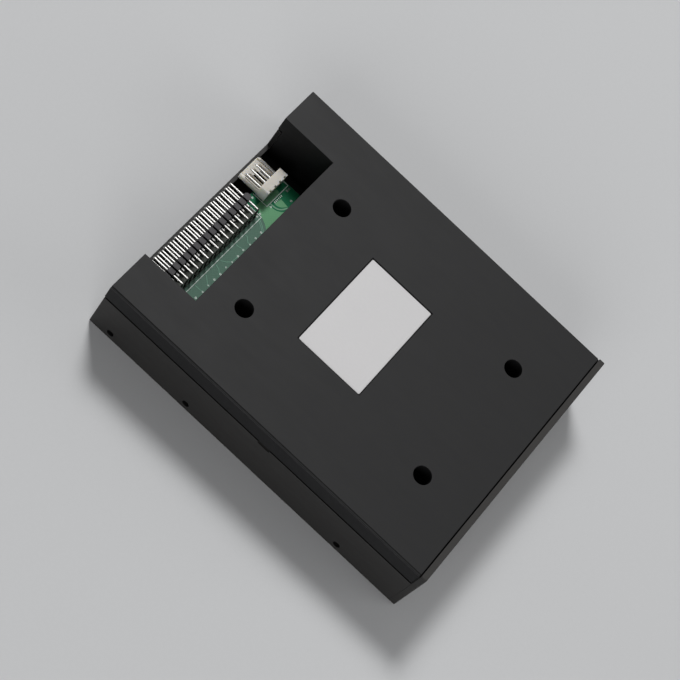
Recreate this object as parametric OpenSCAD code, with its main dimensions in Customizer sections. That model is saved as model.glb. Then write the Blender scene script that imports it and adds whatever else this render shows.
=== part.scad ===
// Floppy drive emulator: a closed plastic case of the 3.5-inch drive size with a board inside.
// Millimetres. +Z up, label side on top. Front bezel at -Y, connectors at +Y, +X is the right side seen from the front.
// The origin is the middle of the underside.

/* [Case] */
// Width over the bezel
bezel_w = 101.6; // [98:0.1:105]
// Width over the side walls
case_w = 101.4; // [98:0.1:105]
// Depth from the bezel's front to the cover's rear edge
depth = 127; // [110:0.5:150]
// Height from the underside to the cover's top
height = 25.4; // [22:0.1:30]
// Side wall thickness
wall = 2; // [1.2:0.1:3]
// Floor thickness
floor_t = 2; // [1.2:0.1:3]
// Cover plate thickness
top_t = 2; // [1.2:0.1:3]
// Height of the seam between tray and cover
seam_z = 17.45; // [14:0.05:21]
// Seam gap
seam_gap = 0.85; // [0.1:0.05:1]
// Distance the tray's rear wall stands in from the cover's rear edge
rear_inset = 0.15; // [0:0.05:1]
// Rear wall thickness
rear_t = 1.5; // [1:0.1:2.5]
// Height of the rear wall under the connectors
rear_lip_z = 7.7; // [5:0.1:7.8]
// Radius of the bezel's outline corners
bezel_r = 0.6; // [0.5:0.1:3]
// Bezel thickness
bezel_t = 2.05; // [1.6:0.05:3]
// Gap between cover and bezel
bezel_gap = 0.45; // [0.1:0.05:0.6]
// Depth of the shallow panel in the bezel's front
panel_d = 0.8; // [0.3:0.1:1]

/* [Cover] */
// Width of the ledge along each long top edge
ledge_w = 0.62; // [0.3:0.02:1.5]
// Depth of that ledge
ledge_d = 0.74; // [0.3:0.02:1.5]
// Left end of the connector cut-out
cut_x0 = -34.6; // [-40:0.1:-31]
// Right end of the connector cut-out
cut_x1 = 35.4; // [31:0.1:40]
// Depth of the cut-out from the rear edge
cut_d = 20.5; // [14:0.1:24]
// Radius of the screw wells
well_r = 3.05; // [2.9:0.05:3.4]
// Outer radius of the well tubes
well_or = 4.3; // [3.8:0.1:5]
// Label length across the case
label_w = 39; // [20:0.5:60]
// Label length along the case
label_l = 24.8; // [15:0.1:40]
// Label thickness
label_t = 0.15; // [0.08:0.01:0.2]
// Depth of the seat the label lies in
label_seat = 0.45; // [0.1:0.01:0.6]

/* [Screws and side holes] */
// Half the distance between the screw columns
screw_x = 25.2; // [22:0.1:27]
// Rear screws, distance from the middle
screw_y1 = 31; // [25:0.1:36]
// Front screws, distance from the middle
screw_y2 = -42.3; // [-45:0.1:-35]
// Radius of the side mounting holes
side_r = 1.25; // [1:0.05:1.6]
// Height of the side mounting holes
side_z = 3.05; // [2.5:0.05:6]
// Depth of the side mounting holes
side_l = 6.5; // [4:0.1:8]
// Rear side hole, distance from the middle
side_y1 = 55.7; // [50:0.1:58]
// Middle side hole, distance from the middle
side_y2 = 24.5; // [15:0.1:35]
// Front side hole, distance from the middle
side_y3 = -38; // [-45:0.1:-30]

/* [Board and headers] */
// Underside of the board
board_z = 6.4; // [5:0.1:8]
// Board thickness
board_t = 1.6; // [1:0.1:2]
// Header pitch
pitch = 2.54; // [2:0.01:2.54]
// Columns in the data header
cols = 17; // [10:1:17]
// Right-hand column of the data header
col_last_x = 12; // [8:0.1:13]
// Pin thickness
pin_w = 0.64; // [0.4:0.02:0.8]
// Pitch of the power header
power_pitch = 2.5; // [2:0.01:2.54]
// Middle of the power header
power_x = 23.2; // [22:0.1:23.5]

/* [Front] */
// Middle of the USB port
usb_x = 22.4; // [21:0.1:22.6]
// Middle of the display
disp_x = -17.5; // [-18:0.1:-17]
// Left button
button_x1 = 2; // [1.5:0.1:2.5]
// Right button
button_x2 = 10.6; // [10:0.1:11]
// Button radius
button_r = 2.6; // [2:0.05:2.7]
// Clearance round a button
button_gap = 0.15; // [0.1:0.05:0.3]

/* [Hidden] */
$fn = 64;
yf = -depth/2;
yr = depth/2;
bez_back = yf + bezel_t;
cov_front = bez_back + bezel_gap;
flange_d = 1;
hw = case_w/2;
base_rear = yr - rear_inset;
cut_y = yr - cut_d;
bt = board_z + board_t;
usb_z0 = bt + 0.35;
usb_z1 = usb_z0 + 5.8;
btn_z = bt + 4;
led_z = bt + 10.6;
disp_z = 12.7;
row_b = bt + 1.52;
row_a = row_b + pitch;
row_b_y = yr - 11;
row_a_y = row_b_y - pitch;
pow_z = bt + 2.9;
pow_y = yr - 11.75;
screws = [[-screw_x, screw_y1], [screw_x, screw_y1], [-screw_x, screw_y2], [screw_x, screw_y2]];
buttons = [button_x1, button_x2];
side_ys = [side_y1, side_y2, side_y3];
usb_dx = [-3.5, -1, 1, 3.5];
chip_r_pos = [[-22, 39.4], [-17, 39.4], [-12, 39.4], [-7, 39.4], [-2, 39.4], [3, 39.4], [-12, 24], [-7, 24], [-2, 24], [3, 24], [12, -14], [12, -18], [12, -22], [-10, -30], [-5, -30], [0, -30]];
chip_c_pos = [[-12.5, 4], [-12.5, 9], [5.5, 4], [5.5, -2], [-4, 13.5], [-4, -6], [12, 22], [-23, 13.5], [-23, -1.5]];
can_pos = [[14, 33], [20, 6]];

// a box from one corner to the other
module bx(x0, x1, y0, y1, z0, z1) {
  translate([x0, y0, z0]) cube([x1 - x0, y1 - y0, z1 - z0]);
}

// a cylinder along Y
module cyl_y(x, z, y0, y1, r) {
  translate([x, y1, z]) rotate([90, 0, 0]) cylinder(h = y1 - y0, r = r);
}

// a plate in the XZ plane with round corners
module plate_y(x0, x1, y0, y1, z0, z1, r) {
  bx(x0 + r, x1 - r, y0, y1, z0, z1);
  bx(x0, x1, y0, y1, z0 + r, z1 - r);
  for (x = [x0 + r, x1 - r], z = [z0 + r, z1 - r]) cyl_y(x, z, y0, y1, r);
}

// tray: floor, side walls, low rear wall, bezel with its openings, board bosses and guides
module base_tray() {
  color([0.05, 0.05, 0.052]) difference() {
    union() {
      plate_y(-bezel_w/2, bezel_w/2, yf, bez_back, 0, height, bezel_r);
      bx(-hw, hw, bez_back - 0.5, base_rear, 0, floor_t);
      for (s = [-1, 1]) translate([s*(hw - wall/2), 0, 0])
        bx(-wall/2, wall/2, bez_back - 0.5, base_rear, 0, seam_z);
      bx(-hw, hw, base_rear - rear_t, base_rear, 0, rear_lip_z);
      // flange behind the bezel, lapped by the cover's front edge
      difference() {
        bx(-hw + 1, hw - 1, bez_back - 0.5, bez_back + flange_d, 1, height - 1.5);
        bx(-hw + 5.7, hw - 5.7, bez_back - 1, bez_back + flange_d + 1, 0, height - 4);
      }
      bx(-hw, cut_x0, base_rear - rear_t, base_rear, 0, seam_z);
      bx(cut_x1, hw, base_rear - rear_t, base_rear, 0, seam_z);
      for (p = screws) translate([p[0], p[1], floor_t - 0.5]) cylinder(h = board_z - floor_t + 0.5, r = 3.3);
      for (s = [-1, 1], y = side_ys) translate([s*(hw - wall - 2.4), y, 0])
        bx(-2.9, 2.9, -3.6, 3.6, floor_t - 0.5, side_z + 3.5);
      // ribs under the board
      bx(14.8, 17.2, 46, 54, floor_t - 0.5, board_z);
      bx(-28, 12, 45.6, 46.8, floor_t - 0.5, board_z);
      bx(0, 29, -45.2, -44, floor_t - 0.5, board_z);
      // slotted posts for the display board
      bx(disp_x - 15, disp_x - 12.3, -54.6, -51.2, floor_t - 0.5, 12);
      bx(disp_x + 12.3, disp_x + 15, -54.6, -51.2, floor_t - 0.5, 12);
    }
    // board screw holes
    for (p = screws) translate([p[0], p[1], 1.2]) cylinder(h = board_z, r = 1.25);
    // side mounting holes
    for (s = [-1, 1], y = side_ys) translate([s*hw, y, side_z]) rotate([0, -90*s, 0])
      translate([0, 0, -1]) cylinder(h = side_l + 1, r = side_r);
    // slots of the display board's posts
    bx(disp_x - 13.1, disp_x + 13.1, -53.4, -52, 3, 13);
    // panel and openings of the bezel
    plate_y(-31.5, 31.5, yf - 1, yf + panel_d, 5, 21.2, 1.2);
    plate_y(disp_x - 11.3, disp_x + 11.3, yf - 1, bez_back + 1, disp_z - 5.8, disp_z + 5.8, 0.8);
    for (x = buttons) cyl_y(x, btn_z, yf - 1, bez_back + 1, button_r + button_gap);
    cyl_y(usb_x, led_z, yf - 1, bez_back + 1, 1.6);
    plate_y(usb_x - 6.9, usb_x + 6.9, yf - 1, bez_back + 1, usb_z0 - 0.3, usb_z1 + 0.3, 0.5);
    // pry notches in the seam
    for (s = [-1, 1]) translate([s*(hw - 0.2), -1.5, seam_z]) bx(-0.8, 0.8, -2.3, 2.3, -0.7, 1);
  }
}

// cover: plate with ledges, skirts with an inner lip, four screw wells, connector cut-out
module top_cover() {
  color([0.055, 0.055, 0.057]) difference() {
    union() {
      bx(-hw, hw, cov_front, yr, height - top_t, height - ledge_d);
      bx(-hw + ledge_w, hw - ledge_w, cov_front, yr, height - top_t, height);
      for (s = [-1, 1]) {
        translate([s*(hw - 1.5), 0, 0]) bx(-1.5, 1.5, cov_front, yr, seam_z + seam_gap, height - 1.5);
        translate([s*(hw - wall - 0.575), 0, 0]) bx(-0.425, 0.425, cov_front + 0.5, base_rear - rear_t - 0.15, seam_z - 1.7, height - 1.5);
      }
      for (e = [[-hw, cut_x0], [cut_x1, hw]]) {
        bx(e[0], e[1], base_rear - 2, yr, seam_z + seam_gap, height - 1.5);
        bx(max(e[0], -hw + wall + 0.15), min(e[1], hw - wall - 0.15), base_rear - 2.5, base_rear - rear_t - 0.15, seam_z - 1.7, height - 1.5);
      }
      for (p = screws) translate([p[0], p[1], bt]) cylinder(h = height - 1.5 - bt, r = well_or);
      // walls round the connector cut-out: low at its ends, clear of the board in front
      for (x = [cut_x0 - 1.2, cut_x1]) bx(x, x + 1.2, cut_y - 1.2, base_rear - rear_t - 0.15, floor_t + 1, height - 1.5);
      bx(cut_x0 - 1.2, cut_x1 + 1.2, cut_y - 1.2, cut_y, bt + 1.4, height - 1.5);
      // stiffening ribs under the plate
      for (x = [-40, 40]) bx(x - 0.6, x + 0.6, -58, 40, height - top_t - 2.2, height - 1.5);
    }
    bx(cut_x0, cut_x1, cut_y, yr + 1, seam_z - 3, height + 1);
    // rebate over the flange behind the bezel
    bx(-hw + 0.85, hw - 0.85, cov_front - 1, bez_back + flange_d + 0.15, seam_z - 3, height - 1.35);
    for (p = screws) translate([p[0], p[1], 0]) {
      translate([0, 0, bt + 2]) cylinder(h = height, r = well_r);
      cylinder(h = height, r = 1.6);
    }
    bx(-label_w/2 - 0.47, label_w/2 + 0.13, -label_l/2 + 0.25, label_l/2 + 0.95, height - label_seat, height + 1);
  }
}

// screws down the wells, through the board and into the tray's bosses
module cover_screws() {
  color([0.2, 0.2, 0.21]) for (p = screws) translate([p[0], p[1], bt + 2]) difference() {
    union() {
      cylinder(h = 1.2, r = 2.75);
      translate([0, 0, 1.2]) cylinder(h = 0.9, r1 = 2.75, r2 = 1.9);
      translate([0, 0, -7.8]) cylinder(h = 8, r = 1.2);
    }
    bx(-1.6, 1.6, -0.3, 0.3, 0.8, 3);
    bx(-0.3, 0.3, -1.6, 1.6, 0.8, 3);
  }
}

// label in its seat
module label() {
  color([0.8, 0.8, 0.79])
    bx(-label_w/2 - 0.17, label_w/2 - 0.17, -label_l/2 + 0.6, label_l/2 + 0.6, height - label_seat, height - label_seat + label_t);
}

// board with its holes
module circuit_board() {
  color([0.05, 0.3, 0.16]) difference() {
    bx(-30.3, 29.3, -57.6, yr - 7.9, board_z, bt);
    bx(-31, -2.2, -60, -51, board_z - 1, bt + 1);
    for (p = screws) translate([p[0], p[1], 0]) cylinder(h = 20, r = 1.6);
    for (i = [0:cols - 1], y = [row_a_y, row_b_y]) translate([col_last_x - i*pitch, y, 0]) cylinder(h = 20, r = 0.5);
    for (i = [0:3]) translate([power_x + (i - 1.5)*power_pitch, pow_y, 0]) cylinder(h = 20, r = 0.5);
    for (s = [-1, 1]) {
      translate([usb_x + s*1.27, -47.5, 0]) cylinder(h = 20, r = 0.45);
      translate([usb_x + s*6.425, -54.4, 0]) bx(-0.45, 0.45, -1.3, 1.3, 0, 20);
    }
    for (d = usb_dx) translate([usb_x + d, -50.6, 0]) cylinder(h = 20, r = 0.5);
    for (b = buttons, s = [-1, 1]) {
      translate([b + s*2.25, -50.6, 0]) cylinder(h = 20, r = 0.5);
      translate([b + s*3.15, -52.4, 0]) bx(-0.4, 0.4, -1, 1, 0, 20);
    }
    for (i = [0:5]) translate([disp_x + (i - 2.5)*pitch, -48.6, 0]) cylinder(h = 20, r = 0.5);
  }
}

// data header: a bar with a vee groove between neighbouring columns on both sides and a slit across its top
module data_header_body() {
  y0 = yr - 9.45;
  y1 = y0 + 2.54;
  x0 = col_last_x - (cols - 0.5)*pitch;
  color([0.1, 0.09, 0.1]) difference() {
    bx(x0, col_last_x + pitch/2, y0, y1, bt, row_a + pitch/2);
    for (i = [0:cols], y = [y0, y1]) translate([x0 + i*pitch, y, 0]) rotate([0, 0, 45])
      bx(-0.42, 0.42, -0.42, 0.42, bt - 1, row_a + pitch);
    for (i = [1:cols - 1]) bx(x0 + i*pitch - 0.33, x0 + i*pitch + 0.33, y0 - 1, y1 + 1, row_a - 0.45, row_a + pitch);
    for (i = [0:cols - 1], z = [row_a, row_b]) translate([col_last_x - i*pitch, 0, z])
      bx(-pin_w/2 - 0.02, pin_w/2 + 0.02, y0 - 1, y1 + 1, -pin_w/2 - 0.02, pin_w/2 + 0.02);
  }
}

// one right-angle pin, its row at height z, its leg at y
module bent_pin(x, z, y_tip, y_leg, w) {
  translate([x, 0, 0]) {
    bx(-w/2, w/2, y_leg - w/2, y_tip, z - w/2, z + w/2);
    bx(-w/2, w/2, y_leg - w/2, y_leg + w/2, board_z - 1.2, z);
  }
}

// data header pins
module data_header_pins() {
  color([0.75, 0.73, 0.68]) for (i = [0:cols - 1]) {
    bent_pin(col_last_x - i*pitch, row_a, yr - 1.25, row_a_y, pin_w);
    bent_pin(col_last_x - i*pitch, row_b, yr - 1.25, row_b_y, pin_w);
  }
}

// power header: open shroud with a tall back wall
module power_header_body() {
  color([0.78, 0.76, 0.7]) difference() {
    union() {
      bx(power_x - 4.9, power_x + 4.9, yr - 12.4, yr - 1.15, bt, bt + 1.5);
      for (s = [-1, 1]) translate([power_x + s*4.55, 0, 0]) bx(-0.35, 0.35, yr - 12.4, yr - 1.15, bt, bt + 2.1);
      bx(power_x - 5.1, power_x + 5.1, yr - 12.4, yr - 8.95, bt, bt + 5.4);
    }
    // slots in the shroud's floor
    for (s = [[-3.23, 0.25, 2.5], [-1.19, 0.31, 4.5], [0.37, 0.31, 4.5], [1.65, 0.23, 5.1]]) translate([power_x + s[0], 0, 0]) bx(-s[1], s[1], yr - 8.95, yr - s[2], bt - 1, bt + 1.7);
    // grooves and holes at the pins
    for (i = [0:3]) translate([power_x + (i - 1.5)*power_pitch, 0, 0]) {
      bx(-0.4, 0.4, yr - 13, yr - 11.9, bt - 1, bt + 6);
      bx(-pin_w/2 - 0.03, pin_w/2 + 0.03, yr - 13, pow_y + pin_w/2 + 0.03, bt - 1, pow_z + pin_w/2 + 0.02);
      bx(-pin_w/2 - 0.02, pin_w/2 + 0.02, yr - 13, yr - 8.7, pow_z - pin_w/2 - 0.02, pow_z + pin_w/2 + 0.02);
    }
    // bevelled right rear corner
    translate([power_x + 4.9, yr - 1.15, 0]) rotate([0, 0, 45]) bx(-0.55, 0.55, -0.55, 0.55, bt - 1, bt + 4);
  }
}

// power header pins
module power_header_pins() {
  color([0.78, 0.77, 0.74]) for (i = [0:3])
    bent_pin(power_x + (i - 1.5)*power_pitch, pow_z, yr - 2.5, pow_y, pin_w);
}

// USB port: folded shell with two board tabs
module usb_shell() {
  color([0.7, 0.7, 0.71]) translate([usb_x, 0, 0]) {
    difference() {
      bx(-6.6, 6.6, yf + panel_d, -48.9, usb_z0, usb_z1);
      bx(-6.25, 6.25, yf, -49.25, usb_z0 + 0.35, usb_z1 - 0.35);
      bx(-5, 5, -52, -49.25, usb_z0 - 0.2, usb_z0 + 1);
    }
    for (s = [-1, 1]) translate([s*6.425, 0, 0]) bx(-0.175, 0.175, -55.5, -53.3, board_z - 1, usb_z0 + 0.1);
  }
}

// USB tongue with its block
module usb_tongue() {
  color([0.85, 0.85, 0.83]) translate([usb_x, 0, 0]) {
    bx(-6.2, 6.2, -52, -49.3, usb_z0 + 0.4, usb_z1 - 0.4);
    bx(-4.9, 4.9, -51.9, -49.4, bt, usb_z0 + 0.5);
    bx(-5.55, 5.55, -61.4, -51.9, usb_z0 + 2.89, usb_z0 + 4.73);
  }
}

// USB contacts under the tongue, and their legs
module usb_contacts() {
  color([0.8, 0.66, 0.35]) for (d = usb_dx) translate([usb_x + d, 0, 0]) {
    bx(-0.45, 0.45, -60.6, -52, usb_z0 + 2.65, usb_z0 + 2.89);
    bx(-0.25, 0.25, -50.85, -50.35, board_z - 1.2, bt);
  }
}

// window behind the bezel, with a pad that fills its opening
module display_window() {
  color([0.12, 0.02, 0.02, 0.6]) {
    bx(disp_x - 12.5, disp_x + 12.5, bez_back, bez_back + 1, disp_z - 7, disp_z + 7);
    plate_y(disp_x - 11.2, disp_x + 11.2, yf + panel_d + 0.1, bez_back + 0.2, disp_z - 5.7, disp_z + 5.7, 0.75);
  }
}

// display block
module display_block() {
  color([0.07, 0.07, 0.07]) bx(disp_x - 11.3, disp_x + 11.3, -60.2, -53.3, disp_z - 7.1, disp_z + 7.1);
}

// a point leaned to the right with height
function lean(p) = [p[0] + p[1]*tan(8), p[1]];

// one segment bar between two points, pointed at both ends
module segment(a, b) {
  u = (b - a)/norm(b - a);
  n = [-u[1], u[0]];
  h = 0.48;
  linear_extrude(height = 0.1) polygon([for (p = [a, a + h*(u + n), b + h*(n - u), b, b - h*(u + n), a + h*(u - n)]) lean(p)]);
}

// segments of the digits
module display_segments() {
  sw = 2.35;
  sh = 4.35;
  g = 0.12;
  color([0.72, 0.7, 0.68]) for (i = [-1, 0, 1]) translate([disp_x + i*7.5 - 0.3, -60.2, disp_z]) rotate([90, 0, 0]) {
    for (y = [-sh, 0, sh]) segment([-sw + g, y], [sw - g, y]);
    for (x = [-sw, sw], y = [-sh, 0]) segment([x, y + g], [x, y + sh - g]);
    translate([3.2, -sh, 0]) cylinder(h = 0.1, r = 0.5);
  }
}

// upright board behind the display
module display_board() {
  color([0.05, 0.3, 0.16]) bx(disp_x - 13, disp_x + 13, -53.3, -52.1, 3.2, 20.5);
}

// pins between the upright board and the main board
module display_board_pins() {
  color([0.75, 0.73, 0.68]) for (i = [0:5]) translate([disp_x + (i - 2.5)*pitch, 0, 0]) {
    bx(-0.32, 0.32, -52.1, -48.28, 9.3, 9.94);
    bx(-0.32, 0.32, -48.92, -48.28, board_z - 1.2, 9.5);
  }
}

// LED with a round nose and a flange
module activity_led() {
  color([0.55, 0.75, 0.5]) {
    cyl_y(usb_x, led_z, -61.7, -59.3, 1.5);
    translate([usb_x, -61.7, led_z]) sphere(r = 1.5);
    cyl_y(usb_x, led_z, -59.8, -58.8, 1.9);
  }
}

// LED leads
module led_leads() {
  color([0.7, 0.7, 0.7]) for (s = [-1, 1]) translate([usb_x + s*1.27, 0, 0]) {
    bx(-0.25, 0.25, -58.8, -47.25, led_z - 0.25, led_z + 0.25);
    bx(-0.25, 0.25, -47.75, -47.25, board_z - 1.2, led_z);
  }
}

// switch housings, each with a stepped bore for its plunger
module switch_housings() {
  color([0.06, 0.06, 0.06]) for (b = buttons) difference() {
    bx(b - 3, b + 3, -53.6, -50.1, btn_z - 3, btn_z + 3);
    cyl_y(b, btn_z, -54, -52, 1.85);
    cyl_y(b, btn_z, -52.4, -51.2, 2.5);
  }
}

// switch brackets: a strap over each housing with two board tabs
module switch_brackets() {
  color([0.7, 0.7, 0.7]) for (b = buttons) translate([b, 0, 0]) {
    bx(-3.3, 3.3, -53.2, -50.6, btn_z + 3, btn_z + 3.3);
    for (s = [-1, 1]) translate([s*3.15, 0, 0]) {
      bx(-0.15, 0.15, -53.2, -50.6, bt, btn_z + 3.1);
      bx(-0.15, 0.15, -53.2, -51.6, board_z - 1, bt + 0.5);
    }
  }
}

// switch pins
module switch_pins() {
  color([0.7, 0.7, 0.7]) for (b = buttons, s = [-1, 1]) translate([b + s*2.25, -50.6, 0])
    bx(-0.3, 0.3, -0.25, 0.25, board_z - 1.2, btn_z - 3);
}

// snap domes at the bottom of the switch bores
module switch_domes() {
  color([0.75, 0.75, 0.74]) for (b = buttons) difference() {
    translate([b, -51.2, btn_z]) rotate([90, 0, 0]) cylinder(h = 0.22, r1 = 2.3, r2 = 1.1);
    translate([b, -51.15, btn_z]) rotate([90, 0, 0]) cylinder(h = 0.18, r1 = 2.1, r2 = 0.95);
  }
}

// a button cap: a round head, a collar behind the bezel and a stem
module cap(x) {
  color([0.09, 0.09, 0.092]) {
    cyl_y(x, btn_z, yf + 0.2, -60.8, button_r);
    cyl_y(x, btn_z, bez_back + 0.1, -60.3, 3.4);
    cyl_y(x, btn_z, -60.5, -56.6, 1.6);
  }
}
module button_left_cap() { cap(button_x1); }
module button_right_cap() { cap(button_x2); }

// a switch plunger with a collar inside the housing
module plunger(x) {
  color([0.1, 0.1, 0.1]) {
    cyl_y(x, btn_z, -56.6, -51.9, 1.78);
    cyl_y(x, btn_z, -52.3, -51.75, 2.42);
  }
}
module button_left_plunger() { plunger(button_x1); }
module button_right_plunger() { plunger(button_x2); }

// microcontroller: flat square body
module microcontroller() {
  color([0.04, 0.04, 0.042]) bx(-9, 1, -1, 9, bt + 0.15, bt + 1.55);
}

// one bent lead: shoulder, riser and foot, pointing to +X
module lead() {
  rotate([90, 0, 0]) translate([0, 0, -0.11]) linear_extrude(height = 0.22)
    polygon([[0, 0.62], [0.35, 0.62], [0.35, 0], [1, 0], [1, 0.14], [0.49, 0.14], [0.49, 0.76], [0, 0.76]]);
}

// microcontroller leads on four sides
module microcontroller_leads() {
  color([0.7, 0.7, 0.7]) translate([-4, 4, bt]) for (a = [0:90:270], i = [0:15]) rotate([0, 0, a])
    translate([5, (i - 7.5)*0.5, 0]) lead();
}

// crystal can with round ends
module crystal() {
  color([0.72, 0.72, 0.72]) {
    for (y = [-0.4, 9.4]) translate([-23, 3 + y*0.68, bt]) cylinder(h = 3.5, r = 2.2);
    bx(-25.2, -20.8, 2.73, 9.39, bt, bt + 3.5);
    for (y = [-0.4, 9.4]) translate([-23, 3 + y*0.68, bt]) cylinder(h = 0.4, r = 2.6);
    bx(-25.6, -20.4, 2.73, 9.39, bt, bt + 0.4);
  }
}

// voltage regulator
module regulator() {
  color([0.05, 0.05, 0.05]) bx(13, 19.5, 17.5, 21, bt + 0.1, bt + 1.7);
}

// its tab and leads
module regulator_leads() {
  color([0.7, 0.7, 0.7]) {
    bx(14.75, 17.75, 21, 22.7, bt, bt + 0.3);
    for (x = [13.95, 16.25, 18.55]) bx(x - 0.35, x + 0.35, 15.7, 17.5, bt, bt + 0.3);
  }
}

// capacitor cans with a rolled neck
module capacitor_cans() {
  color([0.7, 0.7, 0.71]) for (p = can_pos) translate([p[0], p[1], bt + 0.8]) {
    cylinder(h = 0.9, r = 3.15);
    translate([0, 0, 0.8]) cylinder(h = 0.7, r = 2.9);
    translate([0, 0, 1.4]) cylinder(h = 3.3, r = 3.15);
  }
}

// capacitor bases
module capacitor_bases() {
  color([0.06, 0.06, 0.06]) for (p = can_pos) bx(p[0] - 3.3, p[0] + 3.3, p[1] - 3.3, p[1] + 3.3, bt, bt + 0.8);
}

// chip resistors and their end caps
module chip_resistors() {
  color([0.06, 0.06, 0.07]) for (p = chip_r_pos) bx(p[0] - 0.65, p[0] + 0.65, p[1] - 0.62, p[1] + 0.62, bt, bt + 0.5);
}
module chip_resistor_ends() {
  color([0.75, 0.75, 0.75]) for (p = chip_r_pos, s = [-1, 1]) translate([p[0] + s*0.825, p[1], 0])
    bx(-0.175, 0.175, -0.62, 0.62, bt, bt + 0.5);
}

// chip capacitors
module chip_capacitors() {
  color([0.5, 0.38, 0.26]) for (p = chip_c_pos) bx(p[0] - 0.62, p[0] + 0.62, p[1] - 1, p[1] + 1, bt, bt + 0.9);
}

base_tray();
top_cover();
cover_screws();
label();
circuit_board();
data_header_body();
data_header_pins();
power_header_body();
power_header_pins();
usb_shell();
usb_tongue();
usb_contacts();
display_window();
display_block();
display_segments();
display_board();
display_board_pins();
activity_led();
led_leads();
switch_housings();
switch_brackets();
switch_pins();
switch_domes();
button_left_cap();
button_left_plunger();
button_right_cap();
button_right_plunger();
microcontroller();
microcontroller_leads();
crystal();
regulator();
regulator_leads();
capacitor_cans();
capacitor_bases();
chip_resistors();
chip_resistor_ends();
chip_capacitors();
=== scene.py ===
import math
import random

import bmesh
import bpy
from mathutils import Matrix, Vector


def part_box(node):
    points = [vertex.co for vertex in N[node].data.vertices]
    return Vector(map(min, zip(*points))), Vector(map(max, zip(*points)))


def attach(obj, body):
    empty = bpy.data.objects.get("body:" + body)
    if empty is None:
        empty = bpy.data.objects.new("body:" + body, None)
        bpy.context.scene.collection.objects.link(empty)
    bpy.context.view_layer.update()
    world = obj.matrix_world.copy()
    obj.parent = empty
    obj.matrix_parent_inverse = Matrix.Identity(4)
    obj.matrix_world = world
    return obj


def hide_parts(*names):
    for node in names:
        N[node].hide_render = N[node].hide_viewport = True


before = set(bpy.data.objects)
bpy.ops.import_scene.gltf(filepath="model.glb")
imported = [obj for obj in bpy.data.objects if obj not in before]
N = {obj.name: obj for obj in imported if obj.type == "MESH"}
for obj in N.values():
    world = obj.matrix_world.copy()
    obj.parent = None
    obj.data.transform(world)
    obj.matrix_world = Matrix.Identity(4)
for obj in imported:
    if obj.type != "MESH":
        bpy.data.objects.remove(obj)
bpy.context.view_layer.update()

scene = bpy.context.scene
MM = 0.001
rng = random.Random(7)


# ---------------------------------------------------------------- materials
class Mat:
    """A node material around one Principled shader."""

    def __init__(self, name):
        self.m = bpy.data.materials.new(name)
        self.m.use_nodes = True
        self.nt = self.m.node_tree
        self.nt.nodes.clear()
        out = self.nt.nodes.new("ShaderNodeOutputMaterial")
        self.b = self.nt.nodes.new("ShaderNodeBsdfPrincipled")
        self.nt.links.new(self.b.outputs[0], out.inputs["Surface"])
        self._tc = None

    def coord(self):
        if self._tc is None:
            self._tc = self.nt.nodes.new("ShaderNodeTexCoord")
        return self._tc.outputs["Object"]

    def link(self, a, b):
        self.nt.links.new(a, b)

    def set(self, **kw):
        for k, v in kw.items():
            self.b.inputs[k.replace("_", " ")].default_value = v
        return self

    def mapped(self, stretch, turn=(0, 0, 0)):
        n = self.nt.nodes.new("ShaderNodeMapping")
        n.inputs["Scale"].default_value = stretch
        n.inputs["Rotation"].default_value = turn
        self.link(self.coord(), n.inputs["Vector"])
        return n.outputs[0]

    def noise(self, scale, detail=2.0, rough=0.5, stretch=None, turn=(0, 0, 0), distort=0.0):
        n = self.nt.nodes.new("ShaderNodeTexNoise")
        n.inputs["Scale"].default_value = scale
        n.inputs["Detail"].default_value = detail
        n.inputs["Roughness"].default_value = rough
        n.inputs["Distortion"].default_value = distort
        self.link(self.mapped(stretch, turn) if stretch else self.coord(), n.inputs["Vector"])
        return n.outputs[0]

    def cells(self, scale, feature="F1", stretch=None):
        n = self.nt.nodes.new("ShaderNodeTexVoronoi")
        n.feature = feature
        n.inputs["Scale"].default_value = scale
        self.link(self.mapped(stretch) if stretch else self.coord(), n.inputs["Vector"])
        return n.outputs["Distance"]

    def ramp(self, fac, stops):
        n = self.nt.nodes.new("ShaderNodeValToRGB")
        e = n.color_ramp.elements
        while len(e) < len(stops):
            e.new(0.5)
        for i, (p, c) in enumerate(stops):
            e[i].position = p
            e[i].color = (*c, 1.0) if len(c) == 3 else c
        self.link(fac, n.inputs[0])
        return n.outputs[0]

    def span(self, fac, a, b, lo, hi):
        n = self.nt.nodes.new("ShaderNodeMapRange")
        for i, v in zip((1, 2, 3, 4), (a, b, lo, hi)):
            n.inputs[i].default_value = v
        self.link(fac, n.inputs[0])
        return n.outputs[0]

    def math(self, op, a, b):
        n = self.nt.nodes.new("ShaderNodeMath")
        n.operation = op
        for i, v in enumerate((a, b)):
            if isinstance(v, (int, float)):
                n.inputs[i].default_value = v
            else:
                self.link(v, n.inputs[i])
        return n.outputs[0]

    def mix(self, fac, a, b, blend="MIX"):
        n = self.nt.nodes.new("ShaderNodeMix")
        n.data_type = "RGBA"
        n.blend_type = blend
        if isinstance(fac, (int, float)):
            n.inputs[0].default_value = fac
        else:
            self.link(fac, n.inputs[0])
        for i, v in ((6, a), (7, b)):
            if isinstance(v, tuple):
                n.inputs[i].default_value = (*v, 1.0)
            else:
                self.link(v, n.inputs[i])
        return n.outputs[2]

    def bump(self, height, strength, distance, before=None):
        n = self.nt.nodes.new("ShaderNodeBump")
        n.inputs["Strength"].default_value = strength
        n.inputs["Distance"].default_value = distance
        self.link(height, n.inputs["Height"])
        if before is not None:
            self.link(before, n.inputs["Normal"])
        return n.outputs[0]

    def color(self, sock):
        self.link(sock, self.b.inputs["Base Color"])

    def rough(self, sock):
        self.link(sock, self.b.inputs["Roughness"])

    def normal(self, sock):
        self.link(sock, self.b.inputs["Normal"])


def tone(c, k):
    return tuple(min(1.0, x * k) for x in c)


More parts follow.
